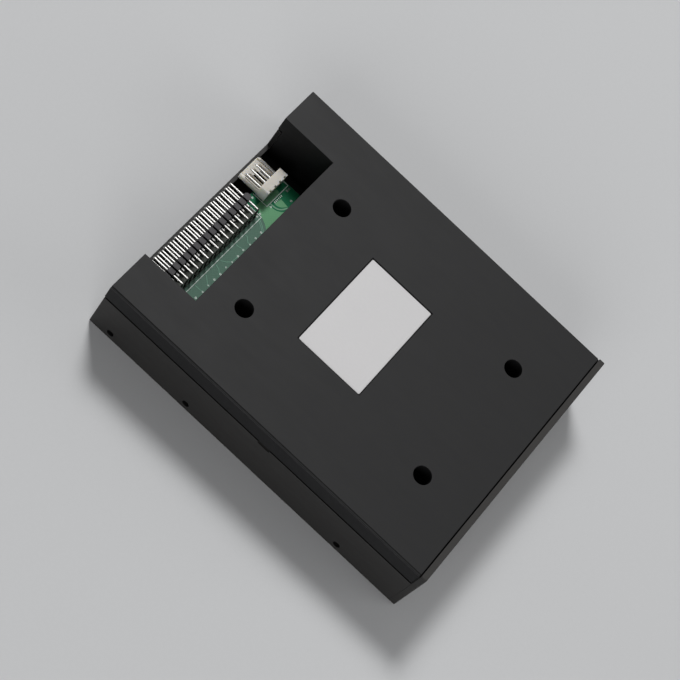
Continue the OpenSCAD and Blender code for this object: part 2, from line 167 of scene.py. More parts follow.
def moulded(name, base, rough=0.5, spec=0.5, vary=0.06, grain=7000.0, height=0.006, strength=0.35, blotch=45.0, scuff=0.05):
    """Moulded plastic: slow tone drift, fine spark grain, faint scuffs in the gloss."""
    k = Mat(name)
    k.set(Specular_IOR_Level=spec)
    slow = k.noise(blotch, 3.0, 0.55)
    fine = k.noise(grain, 2.0, 0.6)
    grainy = k.ramp(fine, [(0.3, tone(base, 1 - vary)), (0.7, tone(base, 1 + vary))])
    drift = k.ramp(slow, [(0.3, (1 - vary,) * 3), (0.7, (1 + vary * 0.5,) * 3)])
    k.color(k.mix(1.0, grainy, drift, "MULTIPLY"))
    scuffs = k.noise(330.0, 4.0, 0.7, stretch=(1.0, 0.22, 1.0), turn=(0, 0, 0.6))
    gl = k.span(scuffs, 0.35, 0.7, rough + scuff * 0.6, rough - scuff)
    k.rough(k.math("ADD", gl, k.span(slow, 0.3, 0.7, -0.01, 0.015)))
    k.normal(k.bump(fine, strength, height * MM))
    return k.m


def metal(name, base, rough=0.25, vary=0.06, brush=(1, 1, 1), scale=900.0, height=0.004, strength=0.3, spread=1.0):
    """Plated metal with faint drawing lines and stain."""
    k = Mat(name)
    k.set(Metallic=1.0)
    lines = k.noise(scale, 3.0, 0.6, stretch=brush)
    stain = k.noise(240.0, 3.0, 0.6)
    col = k.ramp(stain, [(0.3, tone(base, 1 - vary * 1.6)), (0.65, tone(base, 1 + vary))])
    k.color(k.mix(0.35, col, k.ramp(lines, [(0.3, tone(base, 1 - vary)), (0.7, tone(base, 1 + vary))])))
    k.rough(k.math("ADD", k.span(lines, 0.3, 0.7, rough - 0.06 * spread, rough + 0.08 * spread), k.span(stain, 0.35, 0.65, -0.02 * spread, 0.06 * spread)))
    k.normal(k.bump(lines, strength, height * MM))
    return k.m


def masked(name, base, rough=0.42, weave=0.05, vary=0.12, spec=0.14):
    """Solder mask over glass cloth."""
    k = Mat(name)
    k.set(Specular_IOR_Level=spec)
    cloth = k.nt.nodes.new("ShaderNodeTexChecker")
    cloth.inputs["Scale"].default_value = 1900.0
    k.link(k.coord(), cloth.inputs["Vector"])
    slow = k.noise(130.0, 3.0, 0.6)
    fine = k.noise(2600.0, 2.0, 0.6)
    col = k.ramp(slow, [(0.3, tone(base, 1 - vary)), (0.7, tone(base, 1 + vary))])
    col = k.mix(0.5, col, k.ramp(fine, [(0.3, tone(base, 1 - vary)), (0.7, tone(base, 1 + vary))]))
    k.color(k.mix(weave, col, k.ramp(cloth.outputs["Fac"], [(0.0, tone(base, 0.6)), (1.0, tone(base, 1.5))])))
    k.rough(k.span(slow, 0.3, 0.7, rough - 0.06, rough + 0.1))
    k.normal(k.bump(fine, 0.2, 0.006 * MM))
    return k.m


M = {}
M["cover"] = moulded("cover_plastic", (0.0092, 0.0092, 0.0098), rough=0.62, spec=0.375, grain=6500.0, scuff=0.025)
# painted highlight: a lighter copy of the cover plastic for the floor of the side ledge
M["cover_ledge_painted_highlight"] = moulded("cover_plastic_ledge_painted_highlight", (0.021, 0.021, 0.0217), rough=0.55, spec=0.3, strength=0.12)
# painted shade: a less glossy copy of the cover plastic for the side skirts, tuned to their darker tone
M["cover_side_painted_shade"] = moulded("cover_plastic_side_painted_shade", (0.0106, 0.0106, 0.0112), rough=0.68, spec=0.2, grain=6500.0)
# painted shade: a near-black copy of the cover plastic for the screw wells, the bay walls, the inner lip, the label
# seat and the ledge wall
M["cover_painted_shade"] = moulded("cover_plastic_painted_shade", (0.0045, 0.0045, 0.0048), rough=0.6, spec=0.25, strength=0.2)
M["tray"] = moulded("tray_plastic", (0.02, 0.0191, 0.0184), rough=0.62, spec=0.33, grain=6000.0)
# painted light: a lighter copy of the tray plastic for the bezel's top strip
M["tray_top_painted_light"] = moulded("tray_plastic_top_painted_light", (0.033, 0.0311, 0.0295), rough=0.62, spec=0.33, grain=6000.0)
# painted highlight: a lighter copy of the tray plastic for the rounded edges
M["tray_edge_painted_highlight"] = moulded("tray_plastic_edge_painted_highlight", (0.027, 0.0256, 0.0245), rough=0.54, spec=0.38, strength=0.15)
# painted shade: a near-black copy of the tray plastic for gaps, the side seam, the side holes and the rear corner right
# of the bay
M["tray_painted_shade"] = moulded("tray_plastic_painted_shade", (0.006, 0.0058, 0.0056), rough=0.62, spec=0.2, strength=0.2)
M["header"] = moulded("header_plastic", (0.036, 0.0325, 0.0375), rough=0.5, spec=0.4, vary=0.1, grain=5000.0)
# painted shade: a near-black copy of the header plastic for the slits and groove floors between the blocks
M["header_gap_painted_shade"] = moulded("header_gap_painted_shade", (0.005, 0.005, 0.0052), rough=0.6, spec=0.2, vary=0.1, grain=5000.0)
M["ivory"] = moulded("ivory_nylon", (0.61, 0.58, 0.522), rough=0.42, spec=0.45, vary=0.035, grain=3500.0, blotch=260.0)
# painted light: a lighter copy of the ivory nylon for the power header's left-facing faces
M["ivory_side_painted_light"] = moulded("ivory_nylon_side_painted_light", (0.94, 0.905, 0.83), rough=0.42, spec=0.45, vary=0.035, grain=3500.0, blotch=260.0)
for name in ("ivory", "ivory_side_painted_light"):
    shader = M[name].node_tree.nodes["Principled BSDF"]
    shader.inputs["Subsurface Weight"].default_value = 0.6
    shader.inputs["Subsurface Radius"].default_value = (1.0, 0.85, 0.6)
    shader.inputs["Subsurface Scale"].default_value = 0.003
# painted shade: a dark copy of the ivory nylon for the walls of the power header's slots
M["ivory_painted_shade"] = moulded("ivory_nylon_painted_shade", (0.035, 0.031, 0.026), rough=0.6, spec=0.1, vary=0.05, grain=3500.0)
M["white"] = moulded("white_nylon", (0.72, 0.715, 0.68), rough=0.4, spec=0.45, vary=0.03, grain=3500.0)
M["display"] = moulded("display_black", (0.012, 0.012, 0.0125), rough=0.55, spec=0.35)
M["switch"] = moulded("switch_black", (0.02, 0.02, 0.02), rough=0.45, spec=0.45)
M["button"] = moulded("button_plastic", (0.02, 0.02, 0.021), rough=0.34, spec=0.5, grain=4500.0, strength=0.18, scuff=0.08)
M["chip"] = moulded("chip_epoxy", (0.018, 0.018, 0.0185), rough=0.55, spec=0.4, grain=9000.0)
M["tan"] = moulded("chip_ceramic", (0.36, 0.25, 0.15), rough=0.5, spec=0.4, vary=0.1, grain=4000.0)
M["segment"] = moulded("segment_resin", (0.55, 0.53, 0.5), rough=0.4, spec=0.4, vary=0.03)
M["tin"] = metal("pin_tin", (0.87, 0.862, 0.835), rough=0.21, vary=0.02, spread=0.4, brush=(1, 0.05, 0.05), scale=2600.0, height=0.001, strength=0.06)
# painted shade: a dark copy of the pin tin for the legs and the start of each bend
M["tin_leg_painted_shade"] = metal("pin_tin_leg", (0.26, 0.255, 0.245), rough=0.38, vary=0.08, brush=(1, 1, 0.05), scale=2200.0, height=0.002, strength=0.1)
M["solder"] = metal("solder", (0.62, 0.62, 0.61), rough=0.36, scale=1500.0)
M["via"] = metal("via_ring", (0.26, 0.3, 0.275), rough=0.5, scale=1500.0)
M["nickel"] = metal("plated_steel", (0.74, 0.73, 0.71), rough=0.24, brush=(1, 0.06, 1), scale=1600.0)
M["gold"] = metal("contact_gold", (0.86, 0.64, 0.3), rough=0.22, brush=(1, 0.06, 1), scale=2600.0)
M["can"] = metal("can_aluminium", (0.78, 0.78, 0.79), rough=0.3, brush=(1, 1, 0.05), scale=1800.0)
M["zinc"] = metal("screw_zinc", (0.15, 0.15, 0.155), rough=0.36, vary=0.15)
M["mask"] = masked("solder_mask", (0.086, 0.174, 0.128))
M["mask_copper"] = masked("mask_over_copper", (0.125, 0.335, 0.17))
M["mask_trace"] = masked("mask_over_trace", (0.16, 0.335, 0.245))
M["mask_shade"] = masked("mask_shade", (0.022, 0.027, 0.022), rough=0.5, spec=0.15)
# painted half shade: dull grey solder mask for the board under the data header
M["mask_painted_half_shade"] = masked("mask_painted_half_shade", (0.075, 0.084, 0.07), rough=0.5, spec=0.2)
M["mask_light"] = masked("mask_light", (0.17, 0.335, 0.22))
M["mask_deep"] = masked("mask_deep", (0.003, 0.138, 0.058), rough=0.5, spec=0.12)


def label_material():
    k = Mat("label_paper")
    k.set(Specular_IOR_Level=0.35)
    base = (0.625, 0.617, 0.621)
    fibre = k.noise(2600.0, 4.0, 0.65, stretch=(1.0, 0.35, 1.0))
    slow = k.noise(70.0, 2.0, 0.5)
    col = k.ramp(fibre, [(0.3, tone(base, 0.985)), (0.7, tone(base, 1.012))])
    k.color(k.mix(1.0, col, k.ramp(slow, [(0.3, (0.985,) * 3), (0.7, (1.0,) * 3)]), "MULTIPLY"))
    k.rough(k.span(slow, 0.3, 0.7, 0.4, 0.5))
    k.normal(k.bump(k.math("ADD", fibre, k.math("MULTIPLY", slow, 2.0)), 0.15, 0.012 * MM))
    return k.m


def silk_material():
    k = Mat("silkscreen_ink")
    ink = k.noise(3500.0, 3.0, 0.6)
    k.color(k.ramp(ink, [(0.3, (0.56, 0.63, 0.59)), (0.65, (0.7, 0.76, 0.72))]))
    k.rough(k.span(ink, 0.3, 0.7, 0.45, 0.6))
    k.normal(k.bump(ink, 0.3, 0.01 * MM))
    return k.m


def laminate_material():
    k = Mat("board_laminate")
    lay = k.noise(900.0, 3.0, 0.6, stretch=(0.15, 0.15, 6.0))
    k.color(k.ramp(lay, [(0.3, (0.2, 0.21, 0.1)), (0.7, (0.34, 0.33, 0.17))]))
    k.rough(k.span(lay, 0.3, 0.7, 0.55, 0.75))
    k.normal(k.bump(lay, 0.4, 0.02 * MM))
    return k.m


def window_material():
    k = Mat("smoked_window")
    k.set(Transmission_Weight=1.0, IOR=1.49, Specular_IOR_Level=0.5)
    wipe = k.noise(160.0, 3.0, 0.6, stretch=(0.4, 1.0, 1.0))
    k.color(k.ramp(wipe, [(0.3, (0.4, 0.045, 0.04)), (0.7, (0.46, 0.055, 0.048))]))
    k.rough(k.span(wipe, 0.35, 0.7, 0.03, 0.09))
    k.normal(k.bump(k.noise(420.0, 2.0, 0.5), 0.05, 0.01 * MM))
    return k.m


def led_material():
    k = Mat("led_resin")
    k.set(Transmission_Weight=0.85, IOR=1.53)
    haze = k.noise(700.0, 3.0, 0.6)
    k.color(k.ramp(haze, [(0.3, (0.3, 0.62, 0.26)), (0.7, (0.4, 0.72, 0.33))]))
    k.rough(k.span(haze, 0.3, 0.7, 0.12, 0.24))
    k.normal(k.bump(haze, 0.1, 0.01 * MM))
    return k.m


M["label"] = label_material()
M["silk"] = silk_material()
M["laminate"] = laminate_material()
M["window"] = window_material()
M["led"] = led_material()


# ---------------------------------------------------------------- mesh helpers (millimetres inside, metres in the scene)
def add(name, bm, mats, body="case", stands_for=(), smooth=40.0, weighted=True):
    bmesh.ops.scale(bm, vec=(MM, MM, MM), verts=bm.verts)
    bm.normal_update()
    me = bpy.data.meshes.new(name)
    bm.to_mesh(me)
    bm.free()
    return finish_piece(name, me, mats, body, stands_for, smooth, weighted)


def finish_piece(name, me, mats, body, stands_for, smooth, weighted):
    if not me.materials:
        for m in mats:
            me.materials.append(M[m])
    me.polygons.foreach_set("use_smooth", [True] * len(me.polygons))
    me.set_sharp_from_angle(angle=math.radians(smooth))
    ob = bpy.data.objects.new(name, me)
    scene.collection.objects.link(ob)
    if weighted:
        w = ob.modifiers.new("normals", "WEIGHTED_NORMAL")
        w.keep_sharp = True
        w.weight = 80
    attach(ob, body)
    if stands_for:
        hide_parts(*stands_for)
    return ob


def flat_groups(bm):
    """Faces that lie in one plane and touch, as lists."""
    bm.normal_update()
    seen, groups = set(), []
    for f in bm.faces:
        if f in seen:
            continue
        seen.add(f)
        group, stack = [f], [f]
        while stack:
            for e in stack.pop().edges:
                for o in e.link_faces:
                    if o not in seen and o.normal.dot(f.normal) > 0.99999 and abs((o.verts[0].co - f.verts[0].co).dot(f.normal)) < 0.004:
                        seen.add(o)
                        group.append(o)
                        stack.append(o)
        groups.append(group)
    return groups


def open_holes(bm):
    """Cuts each flat face that has holes along straight lines through the holes' middles, so that no face wraps round a hole."""
    cuts = []
    for group in flat_groups(bm):
        inside = set(group)
        rim = {e for f in group for e in f.edges if any(o not in inside for o in e.link_faces)}
        loops, left = [], set(rim)
        while left:
            stack, loop = [left.pop()], []
            while stack:
                e = stack.pop()
                loop.append(e)
                for v in e.verts:
                    for o in v.link_edges:
                        if o in left:
                            left.remove(o)
                            stack.append(o)
            loops.append([v.co for e in loop for v in e.verts])
        if len(loops) < 2:
            continue
        n = group[0].normal.copy()
        k = 1 if abs(n.x) > 0.7 else 0
        spans = [(max(c[k] for c in l) - min(c[k] for c in l), l) for l in loops]
        spans.sort(key=lambda t: -t[0])
        here = group[0].verts[0].co.copy()
        for at in sorted({round((max(c[k] for c in l) + min(c[k] for c in l)) / 2, 2) for w, l in spans[1:]}):
            cuts.append((k, at, n, here))
    for k, at, n, here in cuts:
        faces = [f for f in bm.faces if f.normal.dot(n) > 0.99999 and abs((f.verts[0].co - here).dot(n)) < 0.004]
        geom = list({v for f in faces for v in f.verts}) + list({e for f in faces for e in f.edges}) + faces
        co, no = Vector((0, 0, 0)), Vector((0, 0, 0))
        co[k], no[k] = at, 1.0
        bmesh.ops.bisect_plane(bm, geom=geom, dist=0.003, plane_co=co, plane_no=no)
        bm.normal_update()
    if not cuts:
        return
    loose = []
    for e in bm.edges:
        if len(e.link_faces) == 2 and e.link_faces[0].normal.dot(e.link_faces[1].normal) > 0.99999:
            on_cut = any(abs(e.verts[0].co[k] - at) < 0.006 and abs(e.verts[1].co[k] - at) < 0.006 and e.link_faces[0].normal.dot(n) > 0.9999 and abs((e.verts[0].co - here).dot(n)) < 0.004 for k, at, n, here in cuts)
            if not on_cut:
                loose.append(e)
    bmesh.ops.dissolve_edges(bm, edges=loose, use_verts=False, use_face_split=False)


def cad(node):
    """A clean copy of a CAD node's mesh, in millimetres."""
    bm = bmesh.new()
    bm.from_mesh(N[node].data)
    bmesh.ops.scale(bm, vec=(1000.0,) * 3, verts=bm.verts)
    bmesh.ops.remove_doubles(bm, verts=bm.verts, dist=0.002)
    bmesh.ops.dissolve_degenerate(bm, dist=0.001, edges=bm.edges)
    bmesh.ops.dissolve_limit(bm, angle_limit=math.radians(0.4), verts=bm.verts, edges=bm.edges)
    bmesh.ops.recalc_face_normals(bm, faces=bm.faces)
    open_holes(bm)
    bm.normal_update()
    return bm


def rounded(name, node, mats, rule, body="case", segments=2, smooth=48.0, edge_mat=None, paint=None, repaint=None):
    """A CAD node with its edges rounded: rule(mid, n1, n2, angle) gives each edge's width in millimetres."""
    bm = cad(node)
    lay = bm.edges.layers.float.new("bevel_weight_edge")
    widths = {}
    for e in bm.edges:
        if len(e.link_faces) != 2:
            continue
        a = e.calc_face_angle_signed(0.0)
        if abs(a) < math.radians(20):
            continue
        mid = (e.verts[0].co + e.verts[1].co) / 2
        w = rule(mid, e.link_faces[0].normal, e.link_faces[1].normal, a)
        if w:
            widths[e] = w
    top = max(widths.values()) if widths else 0.0
    for e, w in widths.items():
        e[lay] = w / top
    if paint:
        for f in bm.faces:
            f.material_index = paint(f.calc_center_median(), f.normal)
    bmesh.ops.scale(bm, vec=(MM, MM, MM), verts=bm.verts)
    me = bpy.data.meshes.new(name)
    bm.to_mesh(me)
    bm.free()
    if top:
        tmp = bpy.data.objects.new(name + "_tmp", me)
        for m in mats:
            me.materials.append(M[m])
        scene.collection.objects.link(tmp)
        b = tmp.modifiers.new("round", "BEVEL")
        b.limit_method = "WEIGHT"
        b.width = top * MM
        b.segments = segments
        b.use_clamp_overlap = False
        b.material = mats.index(edge_mat) if edge_mat else -1
        bpy.context.view_layer.update()
        me2 = bpy.data.meshes.new_from_object(tmp.evaluated_get(bpy.context.evaluated_depsgraph_get()))
        bpy.data.objects.remove(tmp)
        clean = bmesh.new()
        clean.from_mesh(me2)
        bmesh.ops.remove_doubles(clean, verts=clean.verts, dist=0.002 * MM)
        bmesh.ops.dissolve_degenerate(clean, dist=0.002 * MM, edges=clean.edges)
        clean.to_mesh(me2)
        clean.free()
        me2.name = name
        me = me2
    if repaint:
        for f in me.polygons:
            f.material_index = repaint(f.center * 1000.0, f.normal, f.material_index)
    return finish_piece(name, me, mats, body, (node,), smooth, True)


def outer(w, concave=0.0):
    """Rounds every outward edge alike."""
    return lambda mid, n1, n2, a: w if a > 0 else concave


def ring(bm, pts):
    return [bm.verts.new(p) for p in pts]


def bridge(bm, a, b):
    n = len(a)
    return [bm.faces.new((a[i], a[(i + 1) % n], b[(i + 1) % n], b[i])) for i in range(n)]


def lathe(bm, profile, centre, axis="Z", seg=32):
    """Turns (radius, along) pairs round an axis through centre. A radius of 0 makes a tip."""
    cx, cy, cz = centre
    last = None
    for r, h in profile:
        if r < 1e-6:
            here = [(0.0, 0.0, h)]
        else:
            here = [(r * math.cos(2 * math.pi * i / seg), r * math.sin(2 * math.pi * i / seg), h) for i in range(seg)]
        if axis == "Y":
            here = [(x, z, y) for x, y, z in here]
        vs = ring(bm, [(x + cx, y + cy, z + cz) for x, y, z in here])
        if last is not None:
            if len(last) == 1 and len(vs) > 1:
                for i in range(seg):
                    bm.faces.new((last[0], vs[i], vs[(i + 1) % seg]))
            elif len(vs) == 1 and len(last) > 1:
                for i in range(seg):
                    bm.faces.new((last[i], last[(i + 1) % seg], vs[0]))
            else:
                bridge(bm, last, vs)
        last = vs


def close_out(bm):
    bmesh.ops.recalc_face_normals(bm, faces=bm.faces)


def prism(bm, pts, z0, z1, mat=0):
    """A flat closed plate from an outline."""
    a = ring(bm, [(x, y, z0) for x, y in pts])
    b = ring(bm, [(x, y, z1) for x, y in pts])
    fs = bridge(bm, a, b) + [bm.faces.new(a[::-1]), bm.faces.new(b)]
    for f in fs:
        f.material_index = mat


def ribbon(bm, pts, w, z0, z1, mat=0):
    """A closed flat strip along a line of points."""
    left, right = [], []
    n = len(pts)
    for i, p in enumerate(pts):
        p = Vector(p)
        d0 = (p - Vector(pts[i - 1])).normalized() if i > 0 else None
        d1 = (Vector(pts[i + 1]) - p).normalized() if i < n - 1 else None
        d = d1 if d0 is None else d0 if d1 is None else (d0 + d1).normalized()
        side = Vector((-d.y, d.x))
        k = 1.0 if d0 is None or d1 is None else 1.0 / max(0.4, side.dot(Vector((-d0.y, d0.x))))
        left.append(p + side * (w / 2 * k))
        right.append(p - side * (w / 2 * k))
    prism(bm, [tuple(q) for q in left + right[::-1]], z0, z1, mat)


def annulus(bm, x, y, r0, r1, z0, z1, seg=20, mat=0):
    rings = []
    for r, z in ((r0, z0), (r1, z0), (r1 - 0.02, z1), (r0, z1)):
        rings.append(ring(bm, [(x + r * math.cos(2 * math.pi * i / seg), y + r * math.sin(2 * math.pi * i / seg), z) for i in range(seg)]))
    for i in range(4):
        for f in bridge(bm, rings[i], rings[(i + 1) % 4]):
            f.material_index = mat


def dot(bm, x, y, r, z0, z1, seg=16, mat=0):
    prism(bm, [(x + r * math.cos(2 * math.pi * i / seg), y + r * math.sin(2 * math.pi * i / seg)) for i in range(seg)], z0, z1, mat)


def bent_pin(bm, x, w, z_row, y_tip, y_leg, z_low, bend, roll=0.0):
    """A square pin with clipped corners: up from the board, round a bend, out to a tapered tip, rolled a little about its length."""
    h, c, d = w / 2, w * 0.24, w * 0.105
    co, si = math.cos(math.radians(roll)), math.sin(math.radians(roll))
    sec = [(h - c, h), (h, h - d), (h, d - h), (h - c, -h), (c - h, -h), (-h, d - h), (-h, h - d), (c - h, h)]
    sec = [(u * co - v * si, u * si + v * co) for u, v in sec]
    path = [((y_leg, z_low), (0, 1), 0.55), ((y_leg, z_low + 0.35), (0, 1), 1.0), ((y_leg, z_row - bend), (0, 1), 1.0)]
    for i in range(1, 7):
        t = math.pi / 2 * i / 6
        path.append(((y_leg + bend - bend * math.cos(t), z_row - bend + bend * math.sin(t)), (math.sin(t), math.cos(t)), 1.0))
    path += [((y_tip - 0.32, z_row), (1, 0), 1.0), ((y_tip - 0.07, z_row), (1, 0), 0.54), ((y_tip, z_row), (1, 0), 0.4)]
    last = None
    for i, ((y, z), (ty, tz), k) in enumerate(path):
        r = ring(bm, [(x + u * k, y - tz * v * k, z + ty * v * k) for u, v in sec])
        if last:
            for f in bridge(bm, last, r):
                # painted shade: the leg and the start of the bend take the dark leg material
                f.material_index = 1 if i < 4 else 0
        else:
            bm.faces.new(r[::-1])
        last = r
    bm.faces.new(last)


def fillet(bm, x, y, z, up, r=0.8, h=0.62):
    """A solder cone around a leg."""
    prof = [(0.0, 0.0), (r, 0.0), (r * 0.93, h * 0.08), (r * 0.74, h * 0.26), (r * 0.6, h * 0.52), (r * 0.52, h * 0.8), (r * 0.46, h), (0.0, h)]
    lathe(bm, [(a, b * up) for a, b in prof], (x, y, z), seg=14)


# ---------------------------------------------------------------- case
def tray_rule(mid, n1, n2, a):
    x, y, z = mid
    if a < 0:
        return 0.0
    if y < -61.0:
        outline = abs(abs(x) - 50.8) < 0.9 or z < 1.6 or z > 23.8
        if y < -63.3:
            return 0.32 if outline else 0.14
        if outline:
            return 0.04
        return 0.1
    if y < -60.2 and z > 17.4:
        return 0.0
    if z < 0.1:
        return 0.28
    if abs(abs(x) - 50.7) < 0.05 and z < 5 and abs(y) < 62:
        return 0.13
    if z > 17.0 and abs(x) > 48:
        return 0.1
    if abs(y) > 61.4:
        return 0.14
    return 0.0


def cover_rule(mid, n1, n2, a):
    x, y, z = mid
    if a < 0:
        return 0.0
    if z > 25.3:
        if abs(abs(x) - 50.08) < 0.05:
            return 0.07
        return 0.14 if abs(x) < 20.5 and -12.6 < y < 13.8 else 0.18
    if z > 24.5 and abs(x) > 49.9:
        return 0.09
    if abs(y - 63.5) < 0.05 or abs(y + 61.0) < 0.05:
        return 0.14
    if abs(abs(x) - 50.7) < 0.05:
        return 0.12
    if y > 42.5 and (abs(x + 34.6) < 0.1 or abs(x - 35.4) < 0.1 or abs(y - 43) < 0.1):
        return 0.14
    return 0.0


def tray_paint(c, n):
    # painted shade (index 2): the panel's back face behind the bezel gap, the flange top and sides, the wall top inside
    # the side seam and the end face of the rear wall right of the bay
    if n.y > 0.7 and -61.6 < c.y < -61.2:
        return 2
    if -61.5 < c.y < -60.2 and c.z > 17.4:
        return 2
    if n.z > 0.9 and abs(c.z - 17.45) < 0.05 and abs(c.x) > 48.0:
        return 2
    if n.x < -0.7 and c.y > 61.5 and 35.0 < c.x < 35.8:
        return 2
    # painted light (index 3): the bezel's top strip takes the lighter copy of the tray plastic
    if n.z > 0.9 and c.z > 25.0 and c.y < -61.0:
        return 3
    return 0


def tray_repaint(c, n, i):
    """Painted shade: the side holes are darkened inside, their rims included."""
    if 40.0 < abs(c.x) < 50.69 and any(math.hypot(c.y - y, c.z - 3.05) < 1.4 for y in (55.7, 24.5, -38.0)):
        return 2
    return i


# painted highlight: the rounded edges take the lighter copy of the tray plastic
rounded("tray", "base_tray", ["tray", "tray_edge_painted_highlight", "tray_painted_shade", "tray_top_painted_light"], tray_rule, segments=3, smooth=38, edge_mat="tray_edge_painted_highlight", paint=tray_paint, repaint=tray_repaint)


def build_flange_ends():
    """The flange's stepped ends, which close the gap behind the panel at both sides."""
    bm = bmesh.new()
    for s in (-1, 1):
        prism(bm, [(s * x, y) for x, y in ((49.5, -61.48), (50.6, -61.48), (50.6, -61.12), (50.55, -61.07), (49.5, -61.07))], 17.6, 24.35)
    close_out(bm)
    # painted shade: the flange ends take the near-black copy of the tray plastic
    add("flange_ends", bm, ["tray_painted_shade"])


build_flange_ends()
WELLS = [(sx * 25.2, y) for sx in (-1, 1) for y in (31.0, -42.3)]


def cover_paint(c, n):
    # painted shade (index 2) in the screw wells, the bay walls, the inner lip and the label seat
    if c.z < 25.3 and any(math.hypot(c.x - x, c.y - y) < 3.4 for x, y in WELLS):
        return 2
    if c.y > 41.5 and c.z < 24.8 and -36.0 < c.x < 36.8 and abs(n.z) < 0.5:
        return 2
    if 47.0 < abs(c.x) < 49.9 and abs(n.x) > 0.9:
        return 2
    if abs(c.x) < 21.0 and -13.5 < c.y < 14.5 and 24.5 < c.z < 25.35:
        return 2
    # painted highlight (index 1) on the floor of the side ledge
    if abs(c.x) > 50.0 and n.z > 0.9 and c.z < 25.0:
        return 1
    # painted shade (index 2) on the small wall of the side ledge
    if abs(abs(c.x) - 50.08) < 0.05 and abs(n.x) > 0.9:
        return 2
    # painted shade (index 3): the side skirts take the less glossy copy
    if abs(c.x) > 50.0 and abs(n.x) > 0.9:
        return 3
    return 0


rounded("cover", "top_cover", ["cover", "cover_ledge_painted_highlight", "cover_painted_shade", "cover_side_painted_shade"], cover_rule, segments=3, smooth=38, paint=cover_paint)
rounded("screws", "cover_screws", ["zinc"], outer(0.12))


def build_label():
    lo, hi = [v * 1000 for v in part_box("label")]
    bm = bmesh.new()
    r, e = 0.45, 0.05
    rings = []
    for inset, z in ((0.0, lo.z), (0.0, hi.z - e), (e * 0.3, hi.z - e * 0.3), (e, hi.z)):
        pts = []
        for cx, cy, t0 in ((hi.x - r, hi.y - r, 0), (lo.x + r, hi.y - r, 90), (lo.x + r, lo.y + r, 180), (hi.x - r, lo.y + r, 270)):
            for i in range(7):
                t = math.radians(t0 + 15 * i)
                pts.append((cx + (r - inset) * math.cos(t), cy + (r - inset) * math.sin(t), z))
        rings.append(ring(bm, pts))
    for p, q in zip(rings, rings[1:]):
        bridge(bm, p, q)
    bm.faces.new(rings[0][::-1])
    bm.faces.new(rings[-1])
    close_out(bm)
    return add("label_sheet", bm, ["label"], stands_for=("label",))


build_label()

# ---------------------------------------------------------------- board
BT = 8.0
COLS = [12.0 - 2.54 * i for i in range(17)]
ROW_A, ROW_B = 12.06, 9.52
LEG_A, LEG_B = 49.96, 52.5
POWER = [23.2 + (i - 1.5) * 2.5 for i in range(4)]
POWER_LEG, POWER_ROW = 51.75, 10.9


def board_paint(c, n):
    if abs(n.z) > 0.7:
        return 0
    outside = c.x < -30.2 or c.x > 29.2 or c.y < -57.5 or c.y > 55.5 or (c.y < -50.9 and c.x < -2.1)
    return 1 if outside else 2


rounded("board", "circuit_board", ["mask", "laminate", "tin"], lambda *k: 0.0, paint=board_paint)


def arc(cx, cy, r, t0, t1, n=10):
    return [(cx + r * math.cos(math.radians(t0 + (t1 - t0) * i / n)), cy + r * math.sin(math.radians(t0 + (t1 - t0) * i / n))) for i in range(n + 1)]


def curve(pts, n=6):
    """A smooth line through points."""
    out = []
    for i in range(len(pts) - 1):
        p0, p1, p2, p3 = (Vector(pts[max(0, min(len(pts) - 1, i + d))]) for d in (-1, 0, 1, 2))
        for k in range(n):
            t = k / n
            out.append(tuple(0.5 * ((2 * p1) + (p2 - p0) * t + (2 * p0 - 5 * p1 + 4 * p2 - p3) * t * t + (3 * p1 - p0 - 3 * p2 + p3) * t ** 3)))
    out.append(tuple(pts[-1]))
    return out


